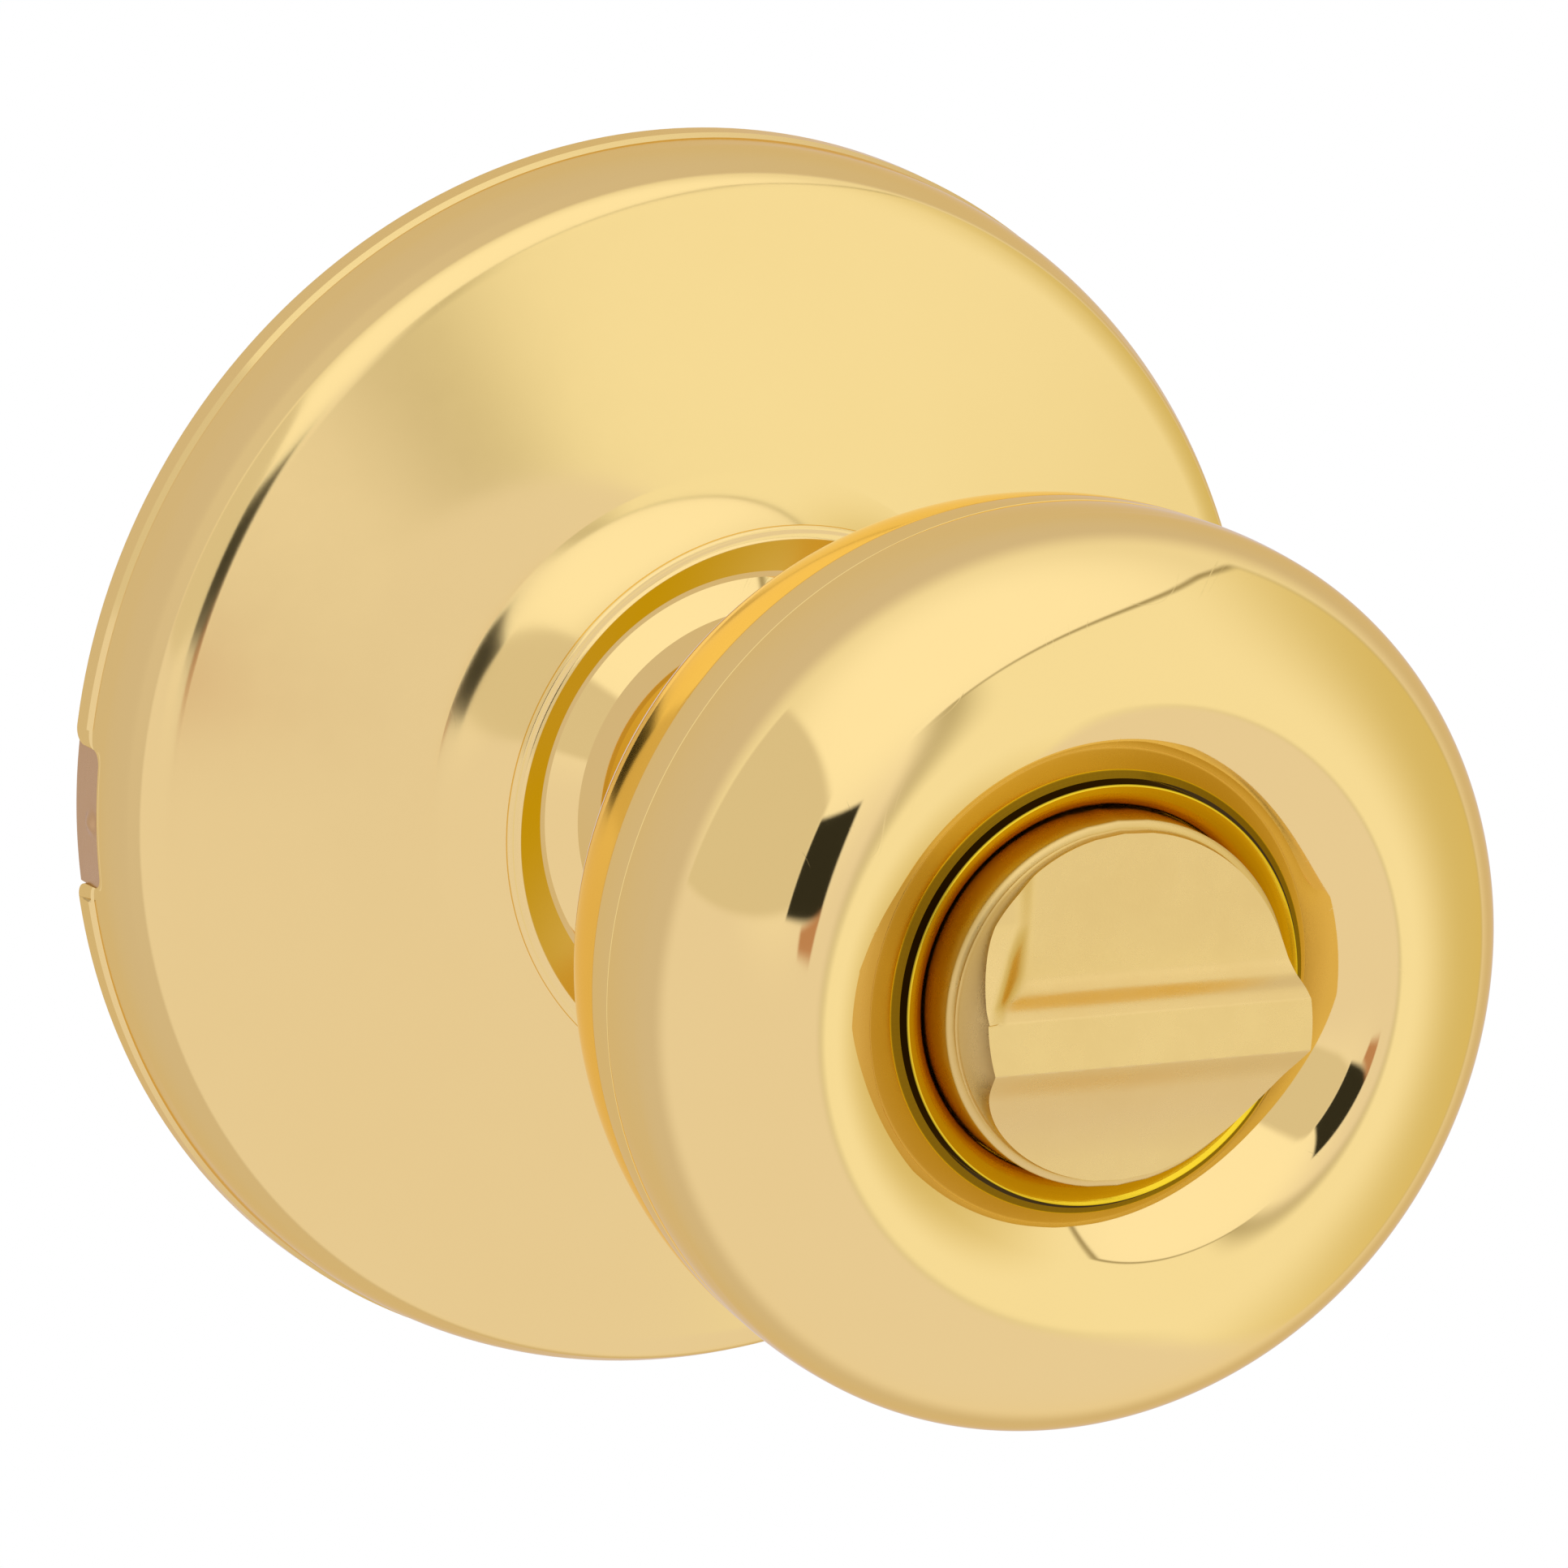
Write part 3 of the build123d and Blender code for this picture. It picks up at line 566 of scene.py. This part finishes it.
back = Profile(NECK_R, 4.2)
back.line(NECK_R, 13.0, 6)
back.line(WAIST_R, 13.8, 6)
back.line(WAIST_R, fillet_d, 12)
back.arc(*joint, tangent=(0, 1), steps=30)
back.arc(seam_r, SEAM_D - SEAM_GAP, steps=110)
back.wall(SHELL_WALL)
back_piece = turned("knob_back_shell", back)
finish_piece(back_piece, "knob", "polished_brass", polished, "knob_back")

# ---------------------------------------------------------------- knob: front shell
KNOB_R = 23.64
WIDEST = 49.25
FRONT_D = 56.0
RIDGE_R = 16.0

front = Profile(seam_r, SEAM_D + SEAM_GAP)
front.arc(KNOB_R, WIDEST, tangent=(0.137, 1), steps=12)
front.quarter(RIDGE_R, WIDEST, KNOB_R - RIDGE_R, FRONT_D - WIDEST, steps=90)
front.arc(13.3, 55.25, tangent=(-1, 0), steps=20)
front.arc(11.05, 53.7, steps=20)
front.wall(SHELL_WALL)
front_piece = turned("knob_front_shell", front)
finish_piece(front_piece, "knob", "polished_brass", polished, "knob_front")

# ---------------------------------------------------------------- button bezel
BEZEL_R = 10.85
COLLAR_R = 13.0
BEZEL_BACK = 40.2
CUP_R = 9.55
CUP_FLOOR = 47.7
STEM_HOLE_R = 4.05
SOCKET_R = 9.02
SOCKET_D = 46.2

bezel = Profile(BEZEL_R, BEZEL_BACK)
bezel.line(BEZEL_R, 51.4, 2).line(COLLAR_R, 51.4, 1).line(COLLAR_R, 52.4, 1).line(BEZEL_R, 52.4, 1)
bezel.line(BEZEL_R, 54.08, 3)
bezel.arc(10.75, 54.2, tangent=(0, 1), steps=6)
bezel.arc(CUP_R, 53.1, tangent=(-1, -0.45), steps=16)
bezel.line(CUP_R, CUP_FLOOR, 3).line(STEM_HOLE_R, CUP_FLOOR, 2).line(STEM_HOLE_R, SOCKET_D, 1)
bezel.line(SOCKET_R, SOCKET_D, 1).line(SOCKET_R, BEZEL_BACK, 1)
bezel.close()
bezel_piece = turned("button_cup", bezel)
finish_piece(bezel_piece, "knob", "polished_brass", bezel_brass, "button_bezel")

# ---------------------------------------------------------------- turn button
BUTTON_R = 9.45
GRIP_R = 8.95
FACE = 55.9
BUTTON_BACK = 51.6
STEM_R = 4.0
STEM_END = 43.8
GROOVE_R = 3.2
GROOVE_TOP, GROOVE_BACK = 45.9, 45.1
SAME_PLACE = 1e-5
CREST = 4.1
CREST_END = 3.5
CREST_FROM, CREST_TO = -1.3, 1.2
TILT = radians(2.5)
DROP = 0.7


def soft_min(a, b, k):
    h = min(1.0, max(0.0, 0.5 + 0.5 * (b - a) / k))
    return b + (a - b) * h - k * h * (1 - h)


def soft_max(a, b, k):
    return -soft_min(-a, -b, k)


# the grip's section: distance above the datum, height above the button's rim
LOWER_SCOOP = [(-10.5, 0.3), (-7.0, 0.6), (-5.3, 1.0), (-3.3, 2.1), (CREST_FROM, CREST)]
UPPER_SCOOP = [(CREST_TO, CREST_END), (1.6, 2.95), (2.2, 1.8), (2.9, 1.2), (4.2, 0.95),
               (7.0, 0.7), (10.5, 0.5)]
LAND_LEFT = -8.6


def along(places, w):
    """Smooth (monotone) interpolation through a list of places."""
    slopes = [(b[1] - a[1]) / (b[0] - a[0]) for a, b in zip(places, places[1:])]
    ends = [slopes[0]] + [
        2 * a * b / (a + b) if a * b > 0 else 0.0 for a, b in zip(slopes, slopes[1:])
    ] + [slopes[-1]]
    for i, (a, b) in enumerate(zip(places, places[1:])):
        if w <= b[0] or i == len(places) - 2:
            h = b[0] - a[0]
            t = min(1.0, max(0.0, (w - a[0]) / h))
            return (
                (2 * t ** 3 - 3 * t ** 2 + 1) * a[1] + (t ** 3 - 2 * t ** 2 + t) * h * ends[i]
                + (3 * t ** 2 - 2 * t ** 3) * b[1] + (t ** 3 - t ** 2) * h * ends[i + 1]
            )


def grip_height(x, z):
    """Height of the cast grip above the button's rim, at a place on its face."""
    u = x * cos(TILT) - (z + DROP) * sin(TILT)
    w = x * sin(TILT) + (z + DROP) * cos(TILT)
    if w < CREST_FROM:
        return along(LOWER_SCOOP, w)
    if w < CREST_TO:
        return CREST - (CREST - CREST_END) * (w - CREST_FROM) / (CREST_TO - CREST_FROM)
    scoop = along(UPPER_SCOOP, w)
    # the land runs up round the left end of the scoop and dies out into a low rim
    rise = CREST_END - 2.7 * (u - LAND_LEFT) / 2.6
    low = max(0.8, CREST_END - 0.62 * (w - CREST_TO))
    return soft_max(scoop, soft_min(rise, low, 0.5), 0.7)


def button_mesh():
    """A disc with the grip as a height field on it, a cylindrical wall, a bevelled rim and a stem."""
    z_values = []
    for lo, hi, count in ((-GRIP_R, -3.2, 42), (-3.2, 1.6, 78), (1.6, GRIP_R, 52)):
        z_values += [lo + (hi - lo) * i / count for i in range(count)]
    z_values.append(GRIP_R)
    columns = 120
    verts, rows = [], []
    for z in z_values:
        half = sqrt(max(0.0, GRIP_R ** 2 - z * z))
        row = []
        for i in range(columns + 1):
            x = -half * cos(pi * i / columns) if half >= SAME_PLACE else 0.0
            row.append(len(verts))
            verts.append((x, FACE + grip_height(x, z), z))
        rows.append(row)
    faces = []
    for a, b in zip(rows, rows[1:]):
        for i in range(columns):
            faces.append((a[i], a[i + 1], b[i + 1], b[i]))

    def apart(v, w):
        return hypot(verts[v][0] - verts[w][0], verts[v][2] - verts[w][2]) > SAME_PLACE

    loop = []
    for v in [row[columns] for row in rows] + [row[0] for row in reversed(rows)]:
        if not loop or apart(v, loop[-1]):
            loop.append(v)
    while not apart(loop[0], loop[-1]):
        loop.pop()

    # the wall, the bevels and the stem: (radius, depth) of each ring under the grip's edge
    sections = [
        (GRIP_R, FACE + 0.12), (GRIP_R + 0.1, FACE),
        (BUTTON_R - 0.16, FACE - 0.03), (BUTTON_R - 0.03, FACE - 0.14), (BUTTON_R, FACE - 0.3),
        (BUTTON_R, BUTTON_BACK + 0.15), (BUTTON_R - 0.15, BUTTON_BACK), (STEM_R, BUTTON_BACK),
        (STEM_R, GROOVE_TOP), (GROOVE_R, GROOVE_TOP), (GROOVE_R, GROOVE_BACK), (STEM_R, GROOVE_BACK),
        (STEM_R, STEM_END + 0.15), (STEM_R - 0.15, STEM_END),
    ]
    previous = loop
    for radius, depth in sections:
        ring = []
        for v in loop:
            x, _, z = verts[v]
            length = hypot(x, z)
            ring.append(len(verts))
            verts.append((x / length * radius, depth, z / length * radius))
        for i in range(len(loop)):
            k = (i + 1) % len(loop)
            faces.append((previous[i], previous[k], ring[k], ring[i]))
        previous = ring
    faces.append(tuple(previous))

    piece = mesh_piece("turn_button_cast", [(x * MM, -d * MM, z * MM) for x, d, z in verts], faces)
    bm = bmesh.new()
    bm.from_mesh(piece.data)
    bmesh.ops.remove_doubles(bm, verts=bm.verts, dist=1e-7)
    bmesh.ops.dissolve_degenerate(bm, edges=bm.edges, dist=1e-8)
    bmesh.ops.recalc_face_normals(bm, faces=bm.faces)
    bm.to_mesh(piece.data)
    bm.free()
    piece.data.polygons.foreach_set("use_smooth", [True] * len(piece.data.polygons))
    piece.data.set_sharp_from_angle(angle=radians(40))
    return piece


button_piece = button_mesh()
finish_piece(button_piece, "turn_button", "cast_brass", cast_brass, "turn_button")

# the rose is lit as if the knob did not mirror in it
for piece in (back_piece, front_piece, *nodes.values()):
    piece.visible_glossy = False

# ---------------------------------------------------------------- carried-over nodes
slot_of = {row["node"]: row["material_slot"] for row in frame["record"]["subparts"]}
for name, piece in nodes.items():
    material = BY_SLOT.get(slot_of.get(name), bright_steel)
    if not piece.material_slots:
        piece.data.materials.append(material)
    for slot in piece.material_slots:
        slot.material = material

# ---------------------------------------------------------------- studio
LOW = (0.87, 0.815, 0.94)


def glowing(name, verts, colour):
    """A flat piece of the stage that gives off one even colour."""
    mesh = bpy.data.meshes.new(name)
    mesh.from_pydata(verts, [], [tuple(range(len(verts)))])
    piece = bpy.data.objects.new(name, mesh)
    bpy.context.scene.collection.objects.link(piece)
    material, tree = clean(name + "_glow")
    out = node(tree, "ShaderNodeOutputMaterial")
    glow = node(tree, "ShaderNodeEmission", Strength=1.0)
    glow.inputs["Color"].default_value = (*colour, 1)
    tree.links.new(glow.outputs["Emission"], out.inputs["Surface"])
    mesh.materials.append(material)
    piece.visible_diffuse = False
    return piece


floor = glowing("floor", [(-3, -3, -0.3), (3, -3, -0.3), (3, 3, -0.3), (-3, 3, -0.3)], (1, 1, 1))
floor.visible_glossy = False

# a small disc inside the knob, seen only in reflections: the rose mirrors it in place of the
# button and its bezel
DISC_R = 17.0
DISC_DEPTH = 39.5
disc_angles = [2 * pi * i / 48 for i in range(48)]
disc = [(DISC_R * MM * cos(a), -DISC_DEPTH * MM, DISC_R * MM * sin(a)) for a in disc_angles]
reflector = glowing("reflector", disc, LOW)
reflector.visible_camera = False
reflector.visible_shadow = False


def towards(lon, lat):
    """A direction: longitude 0 is straight out from the door, +90 is +X; latitude is up."""
    a, b = radians(lon), radians(lat)
    return Vector((cos(b) * sin(a), -cos(b) * cos(a), sin(b)))


world = bpy.data.worlds.new("studio")
bpy.context.scene.world = world
world.use_nodes = True
wt = world.node_tree
wt.nodes.clear()
world_out = node(wt, "ShaderNodeOutputWorld")
sky_place = node(wt, "ShaderNodeTexCoord")
sky_unit = node(wt, "ShaderNodeVectorMath", operation="NORMALIZE")
wt.links.new(sky_place.outputs["Generated"], sky_unit.inputs[0])
DIRECTION = sky_unit.outputs["Vector"]


def facing(axis, lo, hi):
    """0 where a direction's part along `axis` is below lo, 1 above hi."""
    dot = node(wt, "ShaderNodeVectorMath", operation="DOT_PRODUCT")
    wt.links.new(DIRECTION, dot.inputs[0])
    dot.inputs[1].default_value = axis
    ramp = node(wt, "ShaderNodeMapRange", interpolation_type="SMOOTHSTEP", clamp=True)
    ramp.inputs["From Min"].default_value = lo
    ramp.inputs["From Max"].default_value = hi
    wt.links.new(dot.outputs["Value"], ramp.inputs["Value"])
    return ramp.outputs["Result"]


def patch(corners, softness):
    """Mask of a flat patch of the room, given its corners' directions and its edges' softness.

    The softness is in degrees, one value or one for each edge.
    """
    points = [towards(*c) for c in corners]
    middle = sum(points, Vector((0, 0, 0))).normalized()
    if not isinstance(softness, list):
        softness = [softness] * len(points)
    mask = None
    for p, q, width in zip(points, points[1:] + points[:1], softness):
        normal = p.cross(q).normalized()
        if normal.dot(middle) < 0:
            normal = -normal
        half = sin(radians(width)) / 2
        edge = facing(normal, -half, half)
        if mask is not None:
            product = node(wt, "ShaderNodeMath", operation="MULTIPLY")
            wt.links.new(mask, product.inputs[0])
            wt.links.new(edge, product.inputs[1])
            edge = product.outputs["Value"]
        mask = edge
    return mask


# colours of the room, and where they lie: (longitude, latitude) as seen from the knob
HIGH = (0.93, 0.89, 0.93)
BRIGHT = (1.08, 1.05, 1.15)
BEHIND = (0.70, 0.63, 0.69)
LEFT = (0.76, 0.705, 0.735)
RIGHT_NEAR = (1.0, 0.97, 1.0)
RIGHT_FAR = (0.74, 0.645, 0.41)
RIGHT_RIM = (0.42, 0.37, 0.31)
DARK = (0.035, 0.034, 0.032)
RUDDY = (0.55, 0.30, 0.24)
LEFT_PANEL = [(-103, 50), (-60, 46), (-17, 16), (-17, -1), (-60, 8), (-104, 12)]
RIGHT_PANEL = [(0, 10), (36, 36), (70, 45), (101, 39), (108, -52), (62, -51), (30, -42), (22, -24)]
RIGHT_EDGES = [2, 2, 2, 6, 6, 8, 8, 6]
RIM_PANEL = [(0, 11.5), (36, 37.5), (70, 46.6), (101, 40.6), (106, -48), (62, -47), (30, -38),
             (20, -20)]
RIM_EDGES = [1.5, 1.5, 1.5, 8, 8, 8, 8, 8]
DARK_PANEL = [(-17, 13), (-1, 6), (4, -8), (-17, -1)]
RUDDY_PANEL = [(-6, -5.4), (4, -7.4), (5, -11), (-4, -8.4)]

upwards = facing(towards(0, 90), sin(radians(8)), sin(radians(34)))
overhead = facing(towards(-6, 48), cos(radians(62)), cos(radians(16)))
far_right = facing(towards(95, -5), 0.45, 1.0)
sky = mix_colours(wt, upwards, LOW, HIGH)
for mask, colour in (
    (overhead, BRIGHT),
    (facing((0, 1, 0), 0.15, 0.5), BEHIND),
    (patch(LEFT_PANEL, 3), LEFT),
    (patch(RIM_PANEL, RIM_EDGES), RIGHT_RIM),
    (patch(RIGHT_PANEL, RIGHT_EDGES), mix_colours(wt, far_right, RIGHT_NEAR, RIGHT_FAR)),
    (patch(DARK_PANEL, 1.2), DARK),
    (patch(RUDDY_PANEL, 1.5), RUDDY),
):
    sky = mix_colours(wt, mask, sky, colour)

view_ray = node(wt, "ShaderNodeLightPath")
room = node(wt, "ShaderNodeBackground", Strength=1.0)
wt.links.new(sky, room.inputs["Color"])
plain = node(wt, "ShaderNodeBackground", Strength=1.0)
plain.inputs["Color"].default_value = (1, 1, 1, 1)
choose = node(wt, "ShaderNodeMixShader")
wt.links.new(view_ray.outputs["Is Camera Ray"], choose.inputs[0])
wt.links.new(room.outputs["Background"], choose.inputs[1])
wt.links.new(plain.outputs["Background"], choose.inputs[2])
wt.links.new(choose.outputs["Shader"], world_out.inputs["Surface"])

# ---------------------------------------------------------------- camera
AZIMUTH = radians(-25.44)
ELEVATION = radians(15.5)
DISTANCE = 1.0
SENSOR = 36.0
FOCAL_LENGTH = 448.9565
AIM_LEFT = 0.0034864
AIM_UP = 0.0036108

backward = Vector((sin(AZIMUTH) * cos(ELEVATION), -cos(AZIMUTH) * cos(ELEVATION), sin(ELEVATION)))
right_axis = Vector((0, 0, 1)).cross(backward).normalized()
up_axis = backward.cross(right_axis)
target = Vector((0, -0.025, 0))
forward = (-backward - right_axis * AIM_LEFT + up_axis * AIM_UP).normalized()
right_axis = (right_axis - forward * right_axis.dot(forward)).normalized()
up_axis = right_axis.cross(forward)
camera_data = bpy.data.cameras.new("camera")
camera_data.sensor_width = SENSOR
camera_data.lens = FOCAL_LENGTH
camera = bpy.data.objects.new("camera", camera_data)
bpy.context.scene.collection.objects.link(camera)
pose = Matrix((right_axis, up_axis, -forward)).transposed().to_4x4()
pose.translation = target + backward * DISTANCE
camera.matrix_world = pose
bpy.context.scene.camera = camera

bpy.context.scene.view_settings.view_transform = "Standard"
bpy.context.scene.view_settings.look = "None"
